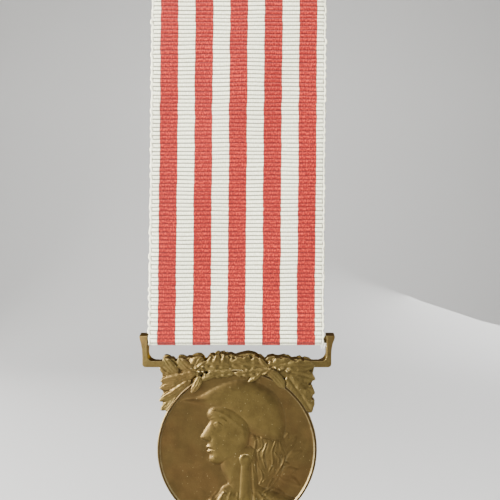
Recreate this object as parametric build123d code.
from build123d import *
import math
import os

# A round medal that hangs by a leafed crest and two arms from a folded ribbon, which is sewn to a
# brooch with a swinging pin and a turning lock.  Millimetres.  The wearer's side is +Y, the face of
# the medal looks to -Y, +Z is up.  The origin is on the axis of the brooch pin.

# ---- driving sizes -------------------------------------------------------------------------------

# medal disc
DISC_DIAMETER = 33.0
DISC_THICKNESS = 2.8            # over the two raised rims
FIELD_THICKNESS = 1.7           # between the two sunk fields
RIM_WIDTH = 0.8
RIM_SLOPE = 0.15                # how far the rim's inner wall leans
EDGE_CHAMFER = 0.2
PORTRAIT_HEIGHT = 0.7           # head above the front field
WREATH_HEIGHT = 0.35            # leaves above the rear field
WREATH_LEAVES = 9               # on each of its two branches
WREATH_START = 12.0             # degrees up from the bottom
WREATH_SWEEP = 140.0

# ribbon
RIBBON_WIDTH = 36.4
RIBBON_THICKNESS = 0.45
RIBBON_DROP = 84.0              # from the top fold to the bottom fold
LAYER_GAP = 0.1
FLAP_HEIGHT = 10.0              # how far the end comes down behind, under the brooch
FREE_HEAD = 6.0                 # the doubled ribbon between the flap and the bending line
BEND_GAP = 0.3                  # clear of the part that swings
SPREAD_HEIGHT = 8.0             # over which the two layers open to go round the bar
FOLD_SOLID = 0.6                # depth of cloth pressed solid in the top fold

# ribbon bar, arms and crest
BAR_RADIUS = 0.75
BAR_CLEARANCE = 0.07            # ribbon's fold on the bar
BAR_SEAT = 1.1                  # how deep each end of the bar sits in its arm
CREST_TO_FOLD = 0.9             # daylight between the crest and the ribbon's fold
CREST_HEIGHT = 3.8              # crest above the disc's edge, at the middle
CREST_THICKNESS = 2.4
CREST_LEAVES = 11
LEAF_LENGTH = 5.0
LEAF_WIDTH = 2.2
CREST_TO_ARM = 2.4              # from the crest's side to the arm's inner face
ARM_CLEARANCE = 0.3             # ribbon's edge to the arm
ARM_WAIST = 0.8
ARM_FLARE = 0.95                # how much wider the arm is at its top
ARM_DEPTH = 2.2
ARM_TOP = 0.55                  # arm above the bar
ARM_CORNER = 0.6
FOOT_HEIGHT = 1.2
FOOT_RISE = 0.4                 # underside of the foot above the top of the disc
TENON_LENGTH = 1.6
TENON_DEPTH = 1.4

# brooch
PLATE_LENGTH = 30.0
PLATE_HEIGHT = 6.0
PLATE_THICKNESS = 0.6
SEWING_HOLE_RADIUS = 0.5
SEWING_HOLE_SPACING = 2.4       # between the two holes at each end
SEWING_HOLE_INSET = 1.8         # from the plate's end
PIN_RADIUS = 0.45
PIN_SHANK_END = 8.0             # where the shank starts to taper
PIN_POINT = 13.6
PIN_TIP_RADIUS = 0.08
HINGE_X = -10.5
CATCH_X = 11.0
RIVET_RADIUS = 0.4
RIVET_HEAD_RADIUS = 0.7
RIVET_HEAD_HEIGHT = 0.25
EYE_WALL = 0.5
LUG_THICKNESS = 0.5
LUG_BASE = 0.4                  # thickness of the lug's foot
LUG_LENGTH = 3.2
RUNNING = 0.05                  # radial clearance of what turns
SIDE_PLAY = 0.1
LOCK_WALL = 0.45
LOCK_LENGTH = 3.6
LOCK_TO_PIN = 0.15
LOCK_TAB_REACH = 1.5            # tab beyond the collar
LOCK_TAB_THICKNESS = 0.7
LOCK_TAB_ANGLE = -80.0          # from +Y towards +Z, when open
HOUSING_WALL = 0.4
HOUSING_LENGTH = 2.2
HOUSING_LIFT = 0.1              # sleeve clear of the plate
HOUSING_FOOT_HEIGHT = 3.4

# thread
THREAD_RADIUS = 0.11
HEAD_STITCHES = 14
HEAD_STITCH_LENGTH = 1.5
HEAD_STITCH_RISE = 1.0          # row above the flap's lower edge

# ---- sizes that follow ---------------------------------------------------------------------------

disc_radius = DISC_DIAMETER / 2
field_radius = disc_radius - RIM_WIDTH - RIM_SLOPE

lock_bore = PIN_RADIUS + LOCK_TO_PIN
lock_radius = lock_bore + LOCK_WALL
housing_bore = lock_radius + RUNNING
housing_radius = housing_bore + HOUSING_WALL
slot_width = 2 * PIN_RADIUS + SIDE_PLAY
eye_radius = RIVET_RADIUS + RUNNING + EYE_WALL

# depths, from the pin's axis forwards
plate_back = -(max(housing_radius, eye_radius + LUG_BASE) + HOUSING_LIFT)
plate_front = plate_back - PLATE_THICKNESS
flap_front = plate_front - RIBBON_THICKNESS
rear_back = flap_front - LAYER_GAP
rear_front = rear_back - RIBBON_THICKNESS
ribbon_y = rear_front - LAYER_GAP / 2
front_back = ribbon_y - LAYER_GAP / 2
front_front = front_back - RIBBON_THICKNESS
pair_half = RIBBON_THICKNESS + LAYER_GAP / 2

# heights
head_top = FLAP_HEIGHT / 2
flap_bottom = head_top - FLAP_HEIGHT
bend_z = flap_bottom - FREE_HEAD
fold_radius = BAR_RADIUS + BAR_CLEARANCE + RIBBON_THICKNESS
bar_z = head_top - RIBBON_DROP + fold_radius
bar_rise = disc_radius + CREST_HEIGHT + CREST_TO_FOLD + fold_radius
disc_z = bar_z - bar_rise

# half widths
arm_inner = RIBBON_WIDTH / 2 + ARM_CLEARANCE
crest_half = arm_inner - CREST_TO_ARM

to_medal = Pos(0, ribbon_y, disc_z)


def slab(sketch, front, back):
    """A flat sketch drawn in X and Z, made solid from y = front to y = back."""
    return extrude(Plane.XZ.offset(-back) * sketch, amount=back - front)


def along_x(sketch, length):
    """A section drawn in Y and Z, made solid for a length across the middle."""
    return extrude(Plane.YZ * sketch, amount=length / 2, both=True)


def rod(radius, start, end):
    """A round rod along X."""
    return Pos((start + end) / 2, 0, 0) * Rot(0, 90, 0) * Cylinder(radius, end - start)


def band(low, high, bottom, top):
    """A rectangle from its edges."""
    return Pos((low + high) / 2, (bottom + top) / 2) * Rectangle(high - low, top - bottom)


def polygon(points):
    return make_face(Polyline(*points, close=True))


def leaf_sketch(length, width):
    """A pointed leaf lying along the sketch's first axis."""
    upper = ThreePointArc((-length / 2, 0), (0, width / 2), (length / 2, 0))
    lower = ThreePointArc((length / 2, 0), (0, -width / 2), (-length / 2, 0))
    return make_face([upper, lower])


# ---- medal ---------------------------------------------------------------------------------------

def portrait_sketch():
    """A helmeted head looking left, cut off under the neck, as a plain raised outline."""
    r = field_radius
    dome = Pos(0.08 * r, 0.42 * r) * Rot(0, 0, -8) * Ellipse(0.54 * r, 0.44 * r)
    brim = Pos(-0.36 * r, 0.55 * r) * Rot(0, 0, -18) * Ellipse(0.36 * r, 0.07 * r)
    head = Pos(0.02 * r, 0.20 * r) * Ellipse(0.42 * r, 0.44 * r)
    hair = Pos(0.40 * r, 0.02 * r) * Rot(0, 0, 20) * Ellipse(0.22 * r, 0.34 * r)
    neck = polygon([(-0.20 * r, 0), (0.42 * r, 0), (0.56 * r, -0.66 * r), (-0.34 * r, -0.66 * r)])
    return dome + brim + head + hair + neck


def wreath_sketch():
    """Two branches of leaves that rise from the bottom of the rear field."""
    path_radius = 0.72 * field_radius
    leaves = Sketch()
    for side in (-1, 1):
        for step in range(WREATH_LEAVES):
            climb = WREATH_START + WREATH_SWEEP * step / (WREATH_LEAVES - 1)
            leaf = leaf_sketch(0.26 * field_radius, 0.11 * field_radius)
            leaning = Rot(0, 0, 70 * side) * leaf
            leaves += Rot(0, 0, side * climb - 90) * Pos(path_radius, 0) * leaning
    return leaves


def medal_disc():
    """The struck disc: rims, sunk fields, a raised head in front and a raised wreath behind."""
    rim_y = DISC_THICKNESS / 2
    field_y = FIELD_THICKNESS / 2
    lip = disc_radius - EDGE_CHAMFER
    half_profile = [
        (0, -field_y),
        (field_radius, -field_y),
        (field_radius + RIM_SLOPE, -rim_y),
        (lip, -rim_y),
        (disc_radius, -rim_y + EDGE_CHAMFER),
        (disc_radius, rim_y - EDGE_CHAMFER),
        (lip, rim_y),
        (field_radius + RIM_SLOPE, rim_y),
        (field_radius, field_y),
        (0, field_y),
    ]
    disc = revolve(polygon(half_profile), axis=Axis.Y)
    disc += slab(portrait_sketch(), -field_y - PORTRAIT_HEIGHT, -field_y)
    disc += slab(wreath_sketch(), field_y, field_y + WREATH_HEIGHT)
    return to_medal * disc


def crest_sketch():
    """A band of leaves standing on the disc's upper edge, between the feet of the arms."""
    top = disc_radius + CREST_HEIGHT
    low = 0.48 * disc_radius
    inset = LEAF_WIDTH / 2
    body = polygon([
        (-crest_half, low),
        (-crest_half, top - 1.6),
        (-0.5 * crest_half, top - 0.9),
        (0, top - 0.5),
        (0.55 * crest_half, top - 0.9),
        (crest_half, top - 1.6),
        (crest_half, low),
    ])
    for step in range(CREST_LEAVES):
        share = 2 * step / (CREST_LEAVES - 1) - 1
        x = share * (crest_half - inset)
        z = top - inset - 0.9 * abs(share)
        tilt = 35 if step % 2 else -20
        leaf = Pos(x, z) * Rot(0, 0, tilt) * leaf_sketch(LEAF_LENGTH, LEAF_WIDTH)
        body += leaf & band(-crest_half, crest_half, low, top)
    return body - Circle(disc_radius)


def foot_span():
    """Lowest and highest Z of the arms' feet, from the disc's centre."""
    bottom = disc_radius + FOOT_RISE
    return bottom, bottom + FOOT_HEIGHT


def tenon(side):
    """The end of an arm's foot, which sits in the side of the crest."""
    bottom, top = foot_span()
    low, high = sorted((side * (crest_half - TENON_LENGTH), side * crest_half))
    return slab(band(low, high, bottom, top), -TENON_DEPTH / 2, TENON_DEPTH / 2)


def leaf_crest():
    """The cast band of leaves, brazed to the disc, with a pocket for each arm."""
    crest = slab(crest_sketch(), -CREST_THICKNESS / 2, CREST_THICKNESS / 2)
    return to_medal * (crest - tenon(-1) - tenon(1))


def ribbon_bar():
    """The round bar that the ribbon's lower fold hangs on."""
    reach = arm_inner + BAR_SEAT
    return to_medal * Pos(0, 0, bar_rise) * rod(BAR_RADIUS, -reach, reach)


def arm(side):
    """An upright with a flared top and a foot that turns in to the crest."""
    bottom, foot_top = foot_span()
    top = bar_rise + BAR_RADIUS + ARM_TOP
    waist = arm_inner + ARM_WAIST
    flare = waist + ARM_FLARE
    flare_z = bar_rise
    outline = [
        Line((crest_half, bottom), (waist - ARM_CORNER, bottom)),
        RadiusArc((waist - ARM_CORNER, bottom), (waist, bottom + ARM_CORNER), -ARM_CORNER),
        Line((waist, bottom + ARM_CORNER), (waist, foot_top + ARM_CORNER)),
        Spline(
            (waist, foot_top + ARM_CORNER),
            (flare, flare_z),
            tangents=[(0, 1), (0.15, 1)],
        ),
        Line((flare, flare_z), (flare, top)),
        Line((flare, top), (arm_inner, top)),
        Line((arm_inner, top), (arm_inner, foot_top + ARM_CORNER)),
        RadiusArc((arm_inner, foot_top + ARM_CORNER), (arm_inner - ARM_CORNER, foot_top), ARM_CORNER),
        Line((arm_inner - ARM_CORNER, foot_top), (crest_half, foot_top)),
        Line((crest_half, foot_top), (crest_half, bottom)),
    ]
    body = slab(make_face(outline), -ARM_DEPTH / 2, ARM_DEPTH / 2)
    seat = Pos(0, 0, bar_rise) * rod(BAR_RADIUS, 0, arm_inner + BAR_SEAT)
    body = body + tenon(1) - seat
    if side < 0:
        body = mirror(body, about=Plane.YZ)
    return to_medal * body


# ---- ribbon --------------------------------------------------------------------------------------

def head_stitch_places():
    """Middle of each stitch in the row across the head: x and z."""
    span = RIBBON_WIDTH - 4 * HEAD_STITCH_LENGTH / 2
    pitch = span / (HEAD_STITCHES - 1)
    z = flap_bottom + HEAD_STITCH_RISE
    return [(-span / 2 + pitch * step, z) for step in range(HEAD_STITCHES)]


def plate_stitch_places():
    """Middle of the stitch at each end of the plate: x and z."""
    x = PLATE_LENGTH / 2 - SEWING_HOLE_INSET
    return [(-x, 0), (x, 0)]


def needle_hole(x, z, radius):
    """A round hole along Y through everything in the head."""
    depth = plate_back - front_front + 2
    middle = (plate_back + front_front) / 2
    return Pos(x, middle, z) * Rot(90, 0, 0) * Cylinder(radius, depth)


def needle_holes():
    """Where the thread passes through the cloth."""
    half = HEAD_STITCH_LENGTH / 2
    holes = []
    for x, z in head_stitch_places():
        holes.append(needle_hole(x - half, z, THREAD_RADIUS))
        holes.append(needle_hole(x + half, z, THREAD_RADIUS))
    half = SEWING_HOLE_SPACING / 2
    for x, z in plate_stitch_places():
        holes.append(needle_hole(x, z - half, THREAD_RADIUS))
        holes.append(needle_hole(x, z + half, THREAD_RADIUS))
    return holes


def ribbon_head():
    """The sewn top: front layer, top fold and flap, with the rear layer's end pressed between."""
    fold_mid = (front_front + plate_front) / 2
    fold_half = (plate_front - front_front) / 2
    fold_z = head_top - fold_half
    end = bend_z + pair_half + BEND_GAP
    section = band(front_front, plate_front, flap_bottom, fold_z)
    section += band(front_front, rear_back, end, fold_z)
    section += Pos(fold_mid, fold_z) * Circle(fold_half)
    slit_top = fold_z - FOLD_SOLID
    section -= band(front_back, rear_front, end, slit_top)
    section -= band(rear_back, flap_front, end, slit_top)
    head = along_x(section, RIBBON_WIDTH)
    return head - needle_holes()


def opened_pair(half_width, radius):
    """Outline of a strip of that half width that swells round the bar to that radius."""
    top = bar_rise + SPREAD_HEIGHT
    side = math.hypot(half_width, SPREAD_HEIGHT)
    turn = math.atan2(half_width, SPREAD_HEIGHT) + math.acos(radius / side)
    touch = (radius * math.sin(turn), bar_rise + radius * math.cos(turn))
    wedge = polygon([
        (-half_width, top),
        (half_width, top),
        touch,
        (0, bar_rise),
        (-touch[0], touch[1]),
    ])
    return wedge + Pos(0, bar_rise) * Circle(radius)


def ribbon_drop():
    """The two layers that hang from the bending line, with the fold round the bar."""
    top = bend_z - disc_z
    inside = LAYER_GAP / 2
    spread_top = bar_rise + SPREAD_HEIGHT
    cloth = opened_pair(pair_half, fold_radius) + band(-pair_half, pair_half, spread_top, top)
    cloth += Pos(0, top) * Circle(pair_half)
    hollow = opened_pair(inside, BAR_RADIUS + BAR_CLEARANCE)
    hollow += band(-inside, inside, spread_top, top - FOLD_SOLID)
    return to_medal * along_x(cloth - hollow, RIBBON_WIDTH)


def thread_loop(x, z, length, front, back, upright):
    """One stitch: a closed loop of thread with a bar on each side of what it holds."""
    half = length / 2
    near = front - THREAD_RADIUS
    far = back + THREAD_RADIUS
    corners = [(-half, near), (half, near), (half, far), (-half, far)]
    path = FilletPolyline(*corners, radius=1.5 * THREAD_RADIUS, close=True)
    start = Plane(origin=(0, near, 0), z_dir=(1, 0, 0))
    loop = sweep(start * Circle(THREAD_RADIUS), path=path)
    turn = Rot(0, 90, 0) if upright else Rot(0, 0, 0)
    return Pos(x, 0, z) * turn * loop


def head_stitches():
    """The row that holds front layer, rear layer and flap together under the plate."""
    loops = []
    for x, z in head_stitch_places():
        loops.append(thread_loop(x, z, HEAD_STITCH_LENGTH, front_front, plate_front, False))
    return Compound(children=loops)


def plate_stitches():
    """A stitch at each end of the plate, through its two holes and the cloth."""
    loops = []
    for x, z in plate_stitch_places():
        loops.append(thread_loop(x, z, SEWING_HOLE_SPACING, front_front, plate_back, True))
    return Compound(children=loops)


# ---- brooch --------------------------------------------------------------------------------------

def brooch_plate():
    """The long plate with round ends that lies behind the ribbon."""
    straight = PLATE_LENGTH - PLATE_HEIGHT
    outline = SlotCenterToCenter(straight, PLATE_HEIGHT)
    half = SEWING_HOLE_SPACING / 2
    for x, z in plate_stitch_places():
        outline -= Pos(x, z - half) * Circle(SEWING_HOLE_RADIUS)
        outline -= Pos(x, z + half) * Circle(SEWING_HOLE_RADIUS)
    return slab(outline, plate_front, plate_back)


def lug_places():
    """Lowest and highest Z of the two cheeks of the pin's lug."""
    inner = PIN_RADIUS + SIDE_PLAY
    return [(inner, inner + LUG_THICKNESS), (-inner - LUG_THICKNESS, -inner)]


def pin_joint():
    """The lug that carries the pin's rivet: a foot on the plate and two cheeks."""
    half_height = PIN_RADIUS + SIDE_PLAY + LUG_THICKNESS
    foot_y = plate_back + LUG_BASE / 2
    lug = Pos(HINGE_X, foot_y, 0) * Box(LUG_LENGTH, LUG_BASE, 2 * half_height)
    for low, high in lug_places():
        outline = Circle(eye_radius) + band(-eye_radius, eye_radius, plate_back, 0)
        lug += Pos(HINGE_X, 0, low) * extrude(outline, amount=high - low)
    return lug - Pos(HINGE_X, 0, 0) * Cylinder(RIVET_RADIUS, 3 * half_height)


def joint_rivet():
    """The rivet that the pin swings on, headed outside both cheeks."""
    half = PIN_RADIUS + SIDE_PLAY + LUG_THICKNESS
    rivet = Cylinder(RIVET_RADIUS, 2 * half)
    for side in (-1, 1):
        head = Pos(0, 0, side * (half + RIVET_HEAD_HEIGHT / 2)) * Cylinder(RIVET_HEAD_RADIUS, RIVET_HEAD_HEIGHT)
        rivet += head
    return Pos(HINGE_X, 0, 0) * rivet


def pin_stem():
    """The pin: an eye round the rivet, a straight shank and a tapered point."""
    eye = Pos(HINGE_X, 0, 0) * Cylinder(eye_radius, 2 * PIN_RADIUS)
    shank = rod(PIN_RADIUS, HINGE_X, PIN_SHANK_END)
    taper_length = PIN_POINT - PIN_SHANK_END
    taper = Pos((PIN_SHANK_END + PIN_POINT) / 2, 0, 0) * Rot(0, 90, 0) * Cone(
        PIN_RADIUS, PIN_TIP_RADIUS, taper_length
    )
    hole = Pos(HINGE_X, 0, 0) * Cylinder(RIVET_RADIUS + RUNNING, 4 * PIN_RADIUS)
    return eye + shank + taper - hole


def catch_housing():
    """The sleeve that the lock turns in, open to the wearer's side, on a foot on the plate."""
    start = CATCH_X - HOUSING_LENGTH / 2
    end = CATCH_X + HOUSING_LENGTH / 2
    foot_top = -housing_bore
    foot = Pos(CATCH_X, (plate_back + foot_top) / 2, 0) * Box(
        HOUSING_LENGTH, foot_top - plate_back, HOUSING_FOOT_HEIGHT
    )
    body = foot + rod(housing_radius, start, end) - rod(housing_bore, start, end)
    mouth = Pos(CATCH_X, housing_radius, 0) * Box(HOUSING_LENGTH, 2 * housing_radius, slot_width)
    return body - mouth


def catch_lock():
    """The slotted collar with a finger tab; turned on its axis it shuts the sleeve's mouth."""
    start = CATCH_X - HOUSING_LENGTH / 2 - SIDE_PLAY
    end = start + LOCK_LENGTH
    tab_start = CATCH_X + HOUSING_LENGTH / 2 + SIDE_PLAY
    collar = rod(lock_radius, start, end)
    reach = lock_radius + LOCK_TAB_REACH
    tab_length = end - tab_start
    tab = Pos((tab_start + end) / 2, reach / 2, 0) * Box(tab_length, reach, LOCK_TAB_THICKNESS)
    collar += Rot(LOCK_TAB_ANGLE, 0, 0) * tab
    collar -= rod(lock_bore, start, end)
    mouth = Pos((start + end) / 2, lock_radius, 0) * Box(LOCK_LENGTH, 2 * lock_radius, slot_width)
    return collar - mouth


# ---- write one file per piece --------------------------------------------------------------------

def left_arm():
    return arm(-1)


def right_arm():
    return arm(1)


PIECES = [
    medal_disc,
    leaf_crest,
    left_arm,
    right_arm,
    ribbon_bar,
    ribbon_drop,
    ribbon_head,
    head_stitches,
    plate_stitches,
    brooch_plate,
    pin_joint,
    joint_rivet,
    pin_stem,
    catch_housing,
    catch_lock,
]

os.makedirs("parts", exist_ok=True)
for piece in PIECES:
    export_step(piece(), f"parts/{piece.__name__}.step")

print("ribbon plane y", round(ribbon_y, 4), "bending line z", round(bend_z, 4))
print("bar z", round(bar_z, 4), "disc centre z", round(disc_z, 4))
